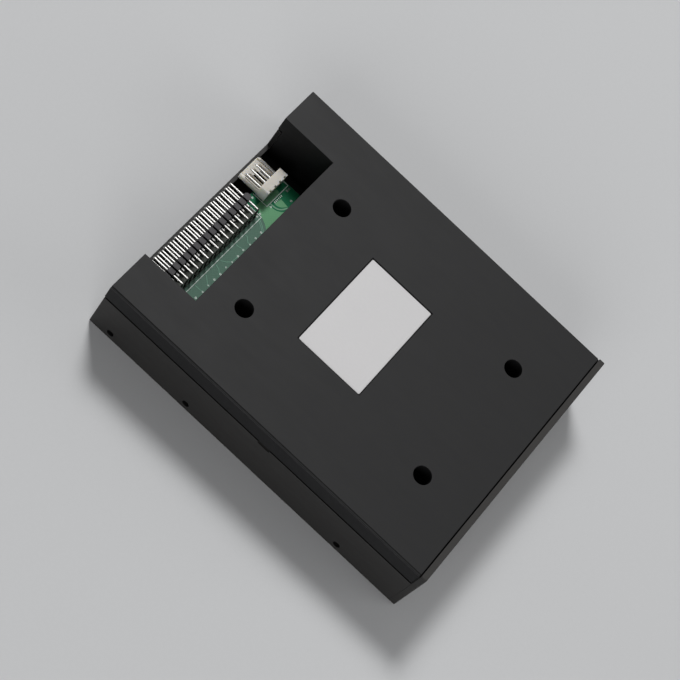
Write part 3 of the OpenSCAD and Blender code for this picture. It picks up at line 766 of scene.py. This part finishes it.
def build_board_print():
    z = BT
    # bare mask and copper areas, and two painted shade bands by the data header
    bm = bmesh.new()
    bay_edge = curve([(13.5, 48.4), (13.1, 47.2), (12.4, 45.8), (11.4, 44.4), (10.2, 42.9)])
    prism(bm, [(29.2, 42.9), (29.2, 55.5), (13.5, 55.5)] + bay_edge, z, z + 0.012, 1)
    east = curve([(18.4, 49.25), (18.6, 48.2), (18.7, 46.9), (19.1, 45.7), (20.0, 44.5), (21.2, 43.6), (22.0, 42.9)])
    north = curve([(13.7, 48.5), (14.1, 49.6), (14.7, 50.7), (15.4, 51.7)]) + [(24.4, 51.7)] + curve([(24.9, 50.8), (24.8, 49.9), (24.2, 49.3)])
    prism(bm, bay_edge[::-1] + north + east, z + 0.01, z + 0.035, 0)
    prism(bm, curve([(20.35, 48.0), (20.45, 46.9), (20.95, 45.85), (21.8, 45.05), (22.9, 44.35)]) + [(23.3, 47.6)], z + 0.01, z + 0.035, 0)
    prism(bm, [(-29.9, 38.0), (9.6, 38.0), (9.6, 42.6), (-29.9, 42.6)], z, z + 0.022, 0)
    # painted shade: a dark band along the feet of the header legs, then a dull grey patch of painted half shade under
    # the header
    prism(bm, [(-30.2, 49.15), (13.2, 49.15), (13.2, 50.25), (-30.2, 50.25)], z, z + 0.015, 2)
    prism(bm, [(-30.2, 50.26), (13.2, 50.26), (13.2, 55.5), (-30.2, 55.5)], z, z + 0.016, 3)
    close_out(bm)
    add("board_copper_and_painted_shade", bm, ["mask_copper", "mask_deep", "mask_shade", "mask_painted_half_shade"], weighted=False)
    # traces
    bm = bmesh.new()
    t0, t1 = z, z + 0.03
    for line in (
        [(-21.2, 47.6), (-21.04, 44.6)],
        [(-15.9, 47.6), (-15.9, 47.1), (-18.0, 44.9), (-18.0, 40.5)],
        [(-10.6, 47.6), (-11.2, 45.8), (-12.1, 44.9), (-12.1, 40.5)],
        [(-8.4, 47.6), (-8.3, 47.0), (-7.5, 45.8), (-6.2, 44.7)],
        [(-3.0, 44.45), (-5.8, 44.62)],
        [(4.5, 47.6), (4.5, 46.8), (3.1, 45.3), (3.05, 40.5)],
        [(-24.2, 44.5), (-24.2, 40.5)],
        [(-27.2, 47.6), (-27.2, 44.8), (-27.9, 43.8), (-27.9, 40.5)],
        [(-0.4, 47.6), (-0.4, 46.6), (-0.1, 45.9), (-0.1, 44.5)],
        [(6.2, 44.4), (6.2, 40.5)],
    ):
        ribbon(bm, line, 0.2, t0, t1)
    for d in (0.75, 1.35):
        ribbon(bm, curve([(13.0 - d, 48.0), (12.6 - d, 47.0), (11.9 - d, 45.8), (10.9 - d, 44.5), (9.6 - d, 43.0)]), 0.2, t0, t1)
    ribbon(bm, curve([(19.35, 49.2), (19.3, 48.6), (19.45, 46.9), (20.0, 45.7), (21.0, 44.8), (22.5, 44.0), (23.6, 42.9)]), 0.5, z + 0.012, z + 0.04, 1)
    close_out(bm)
    add("board_traces", bm, ["mask_trace", "mask_light"], weighted=False)
    # white print: outlines and short marks
    bm = bmesh.new()
    t = 0.045
    ribbon(bm, [(-30.0, 55.2), (-30.0, 47.94), (13.3, 47.94), (13.3, 55.2)], 0.2, z, z + t)
    ribbon(bm, [(17.65, 55.2), (17.65, 49.1), (28.9, 49.1), (28.9, 55.2)], 0.25, z + 0.012, z + 0.012 + t)
    for x in (20.75, 21.45, 22.15, 22.85, 23.55, 24.25):
        ribbon(bm, [(x, 47.95), (x + 0.12, 48.6)], 0.26, z + 0.03, z + 0.07)
    prism(bm, [(-29.6, 47.6), (-28.6, 47.6), (-29.1, 46.8)], z, z + t)
    for x, y in ((14.0, 33.0), (20.0, 6.0)):
        ribbon(bm, [(x - 3.6, y - 3.6), (x + 3.6, y - 3.6), (x + 3.6, y + 3.6), (x - 3.6, y + 3.6), (x - 3.6, y - 3.4)], 0.18, z, z + t)
    close_out(bm)
    add("board_print", bm, ["silk"], weighted=False)
    # bare pads and vias
    bm = bmesh.new()
    for i, x in enumerate((-27.2, -24.24, -21.04, -18.0, -15.03, -12.13, -8.97, -6.05, -3.04, -0.1, 3.05, 6.2, 9.09)):
        annulus(bm, x, 44.52 + 0.14 * math.sin(i * 2.3), 0.12, 0.35 + 0.06 * math.sin(i * 1.7), z, z + 0.045)
    for x, y in ((16.3, 54.4), (12.4, 49.0), (13.9, 49.0), (18.5, 48.15), (25.4, 44.9)):
        annulus(bm, x, y, 0.14, 0.4, z, z + 0.05)
    annulus(bm, 19.4, 50.5, 0.16, 0.34, z, z + 0.05)
    for x in (27.2, 28.2):
        prism(bm, [(x - 0.36, 47.7), (x + 0.36, 47.7), (x + 0.36, 48.5), (x - 0.36, 48.5)], z, z + 0.05)
    close_out(bm)
    add("board_pads", bm, ["via"], weighted=False, smooth=30)
    # solder under the board
    bm = bmesh.new()
    for x in COLS:
        for y in (LEG_A, LEG_B):
            fillet(bm, x, y, 6.4, -1)
    for x in POWER:
        fillet(bm, x, POWER_LEG, 6.4, -1)
    close_out(bm)
    add("solder_joints", bm, ["solder"], smooth=60, weighted=False)


build_board_print()


def build_pins():
    bm = bmesh.new()
    for x in COLS:
        bent_pin(bm, x, 0.64, ROW_A, 62.25, LEG_A, 5.2, 0.42)
        bent_pin(bm, x, 0.64, ROW_B, 62.25, LEG_B, 5.2, 0.6)
    close_out(bm)
    add("data_pins", bm, ["tin", "tin_leg_painted_shade"], stands_for=("data_header_pins",), smooth=20)
    bm = bmesh.new()
    for i, x in enumerate(POWER):
        bent_pin(bm, x, 0.64, POWER_ROW, 61.0, POWER_LEG, 5.2, 0.5, roll=(0.0, 1.5, 0.0, 13.0)[i])
    close_out(bm)
    add("power_pins", bm, ["tin", "tin_leg_painted_shade"], stands_for=("power_header_pins",), smooth=20)


build_pins()
# painted shade: the slits and groove floors between the header's blocks take the near-black copy
rounded(
    "data_header",
    "data_header_body",
    ["header", "header_gap_painted_shade"],
    outer(0.07),
    smooth=40,
    paint=lambda c, n: 1 if (abs(n.x) > 0.7 and -29.7 < c.x < 13.1) or (n.z > 0.7 and c.z < 13.0) else 0,
)


def header_paint(c, n):
    # painted shade: the walls of the slots under the pins take the dark copy
    if abs(n.z) < 0.5 and 54.7 < c.y < 61.0 and c.z < 9.45 and any(abs(c.x - k) < 0.37 for k in (19.97, 22.01, 23.57, 24.85)):
        return 1
    # painted light: the power header's left-facing faces take the lighter copy
    return 2 if n.x < -0.7 and c.x < 19.0 else 0


rounded(
    "power_header",
    "power_header_body",
    ["ivory", "ivory_painted_shade", "ivory_side_painted_light"],
    outer(0.1),
    smooth=48,
    paint=header_paint,
)


# ---------------------------------------------------------------- front
def shell_rule(mid, n1, n2, a):
    x, y, z = mid
    along = abs(n1.y) < 0.5 and abs(n2.y) < 0.5
    edge_x = min(abs(x - 15.8), abs(x - 29.0))
    if a > 0 and along and edge_x < 0.05 and z > 8.2:
        return 0.55
    if a < 0 and along and min(abs(x - 16.15), abs(x - 28.65)) < 0.05:
        return 0.3
    if a > 0 and y < -62.6:
        return 0.06
    if a > 0 and y > -49.0:
        return 0.2
    return 0.0


rounded("usb_can", "usb_shell", ["nickel"], shell_rule, segments=4, smooth=35)
rounded("usb_block", "usb_tongue", ["white"], outer(0.12))
rounded("usb_leaves", "usb_contacts", ["gold"], outer(0.05))


def build_springs():
    """Four stamped springs inside the port."""
    bm = bmesh.new()
    for dx in (-3.2, 3.2):
        for side, base in ((1, 13.8), (-1, 8.7)):
            pts = [(-60.9, 0.02), (-60.0, 0.05), (-58.2, 0.42), (-57.3, 0.5), (-56.7, 0.4), (-56.3, 0.22)]
            last = None
            for y, d in pts:
                z0, z1 = base - side * d, base - side * (d + 0.16)
                w = 1.15 if y < -57 else 0.85
                r = ring(bm, [(22.4 + dx - w, y, z0), (22.4 + dx + w, y, z0), (22.4 + dx + w, y, z1), (22.4 + dx - w, y, z1)])
                if last:
                    bridge(bm, last, r)
                else:
                    bm.faces.new(r[::-1])
                last = r
            bm.faces.new(last)
    close_out(bm)
    add("usb_springs", bm, ["nickel"], smooth=35)


build_springs()
rounded("window", "display_window", ["window"], outer(0.12))
rounded("display_case", "display_block", ["display"], outer(0.15))
rounded("digit_bars", "display_segments", ["segment"], lambda *k: 0.0)
rounded("display_carrier", "display_board", ["mask", "laminate"], lambda *k: 0.0, paint=lambda c, n: 0 if abs(n.y) > 0.7 else 1)
rounded("display_pins", "display_board_pins", ["tin"], outer(0.08))


def build_led():
    bm = bmesh.new()
    cx, cz = 22.4, 18.6
    dome = [(1.5 * math.sin(t), -61.7 - 1.5 * math.cos(t)) for t in [math.pi / 2 * i / 12 for i in range(13)]]
    prof = [(0.0, dome[0][1])] + dome[1:] + [(1.5, -59.86), (1.56, -59.8), (1.84, -59.8), (1.9, -59.74), (1.9, -58.86), (1.84, -58.8), (0.0, -58.8)]
    lathe(bm, prof, (cx, 0, cz), axis="Y", seg=40)
    close_out(bm)
    add("led_lens", bm, ["led"], stands_for=("activity_led",), smooth=40, weighted=False)
    bm = bmesh.new()
    lathe(bm, [(0.0, -60.6), (0.35, -60.6), (0.75, -61.2), (0.82, -61.2), (0.82, -60.4), (0.3, -60.0), (0.3, -59.0), (0.0, -59.0)], (cx, 0, cz), axis="Y", seg=20)
    close_out(bm)
    add("led_cup", bm, ["nickel"], smooth=40)


build_led()
rounded("led_wires", "led_leads", ["tin"], outer(0.08))
rounded("switch_boxes", "switch_housings", ["switch"], outer(0.12))
rounded("switch_straps", "switch_brackets", ["nickel"], outer(0.05))
rounded("switch_legs", "switch_pins", ["tin"], outer(0.05))
rounded("snap_domes", "switch_domes", ["nickel"], lambda *k: 0.0)


def build_button(side, x):
    bm = bmesh.new()
    f = -63.3
    prof = [(0.0, f + 0.24), (0.6, f + 0.225), (1.1, f + 0.18), (1.55, f + 0.1), (1.85, f + 0.025), (2.05, f)]
    prof += [(2.3 + 0.3 * math.sin(t), f + 0.3 - 0.3 * math.cos(t)) for t in [math.pi / 2 * i / 5 for i in range(6)]]
    prof += [(2.6, -61.35), (3.3, -61.35), (3.4, -61.25), (3.4, -60.4), (3.3, -60.3), (1.6, -60.3), (1.6, -56.7), (1.5, -56.6), (0.0, -56.6)]
    lathe(bm, prof, (x, 0, 12.0), axis="Y", seg=56)
    close_out(bm)
    add(f"{side}_push_cap", bm, ["button"], body=f"button_{side}", stands_for=(f"button_{side}_cap",), smooth=42)
    rounded(f"{side}_plunger", f"button_{side}_plunger", ["switch"], outer(0.12), body=f"button_{side}")


build_button("left", 2.0)
build_button("right", 10.6)

# ---------------------------------------------------------------- parts under the cover
rounded("controller", "microcontroller", ["chip"], outer(0.12))
rounded("controller_leads", "microcontroller_leads", ["tin"], lambda *k: 0.0)
rounded("crystal_can", "crystal", ["nickel"], outer(0.3))
rounded("regulator_case", "regulator", ["chip"], outer(0.15))
rounded("regulator_tabs", "regulator_leads", ["tin"], outer(0.05))
rounded("cans", "capacitor_cans", ["can"], outer(0.18))
rounded("can_bases", "capacitor_bases", ["chip"], outer(0.15))
rounded("chip_r", "chip_resistors", ["chip"], outer(0.04))
rounded("chip_r_ends", "chip_resistor_ends", ["tin"], outer(0.04))
rounded("chip_c", "chip_capacitors", ["tan"], outer(0.06))


# ---------------------------------------------------------------- floor, light, camera
def build_floor():
    k = Mat("floor_paper")
    base = (0.58, 0.585, 0.592)
    slow = k.noise(2.5, 2.0, 0.5)
    fine = k.noise(900.0, 3.0, 0.6)
    k.set(Specular_IOR_Level=0.2)
    k.color(k.mix(0.5, k.ramp(slow, [(0.3, tone(base, 0.985)), (0.7, tone(base, 1.015))]), k.ramp(fine, [(0.3, tone(base, 0.985)), (0.7, tone(base, 1.015))])))
    k.rough(k.span(fine, 0.3, 0.7, 0.8, 0.9))
    M["floor"] = k.m
    bm = bmesh.new()
    n, half = 24, 12.0
    grid = [[bm.verts.new((-half + 2 * half * i / n, -half + 2 * half * j / n, -0.0002)) for j in range(n + 1)] for i in range(n + 1)]
    for i in range(n):
        for j in range(n):
            bm.faces.new((grid[i][j], grid[i + 1][j], grid[i + 1][j + 1], grid[i][j + 1]))
    me = bpy.data.meshes.new("floor")
    bm.to_mesh(me)
    bm.free()
    me.materials.append(M["floor"])
    ob = bpy.data.objects.new("floor", me)
    scene.collection.objects.link(ob)


build_floor()


def area(name, at, to, size, power, color=(1, 1, 1)):
    l = bpy.data.lights.new(name, "AREA")
    l.shape = "RECTANGLE"
    l.size, l.size_y = size
    l.energy = power
    l.color = color
    o = bpy.data.objects.new(name, l)
    scene.collection.objects.link(o)
    d = (Vector(to) - Vector(at)).normalized()
    o.matrix_world = Matrix.Translation(Vector(at)) @ d.to_track_quat("-Z", "Y").to_matrix().to_4x4()
    o.visible_camera = False


KEY = Vector((0.62, 0.5, 1.0)).normalized()
area("key", KEY * 1.3, (0, 0, 0), (0.35, 0.35), 7.2)
area("over", (0.62, 0.14, 1.03), (0, 0.05, 0), (0.45, 0.45), 0.5)
area("left_fill", (-1.05, -0.25, 0.5), (0, 0, 0), (0.9, 0.7), 6.0)
area("front_fill", (0.35, -1.0, 0.45), (0, 0, 0), (0.8, 0.6), 2.8)
far = bpy.data.lights.new("far_key", "SUN")
far.energy = 0.8
far.angle = math.radians(12)
far_ob = bpy.data.objects.new("far_key", far)
scene.collection.objects.link(far_ob)
far_ob.matrix_world = Matrix.Translation(KEY * 2.0) @ (-KEY).to_track_quat("-Z", "Y").to_matrix().to_4x4()

world = bpy.data.worlds.new("studio")
world.use_nodes = True
wb = world.node_tree.nodes["Background"]
wt = world.node_tree
wc = wt.nodes.new("ShaderNodeTexCoord")
ws = wt.nodes.new("ShaderNodeSeparateXYZ")
wr = wt.nodes.new("ShaderNodeValToRGB")
wr.color_ramp.interpolation = "EASE"
wr.color_ramp.elements[0].position, wr.color_ramp.elements[0].color = 0.0, (0.3, 0.303, 0.309, 1.0)
wr.color_ramp.elements[1].position, wr.color_ramp.elements[1].color = 0.35, (0.097, 0.098, 0.1, 1.0)
wt.links.new(wc.outputs["Generated"], ws.inputs[0])
wt.links.new(ws.outputs[2], wr.inputs[0])
wt.links.new(wr.outputs[0], wb.inputs["Color"])
wb.inputs["Strength"].default_value = 1.0
scene.world = world

cam = bpy.data.cameras.new("camera")
cam.lens = 112.906
cam.sensor_width = 36.0
cam.clip_start = 0.01
camera = bpy.data.objects.new("camera", cam)
scene.collection.objects.link(camera)
view = Vector((0.5155, -0.0089, -0.8569)).normalized()
right = Vector((0.5823, -0.7300, 0.3579))
right = (right - view * right.dot(view)).normalized()
up = right.cross(view)
camera.matrix_world = Matrix(
    (
        (right.x, up.x, -view.x, -0.34414),
        (right.y, up.y, -view.y, 0.00928),
        (right.z, up.z, -view.z, 0.58021),
        (0, 0, 0, 1),
    )
)
scene.camera = camera
scene.view_settings.view_transform = "Standard"
scene.view_settings.look = "None"
scene.view_settings.exposure = 0.0
scene.view_settings.gamma = 1.0
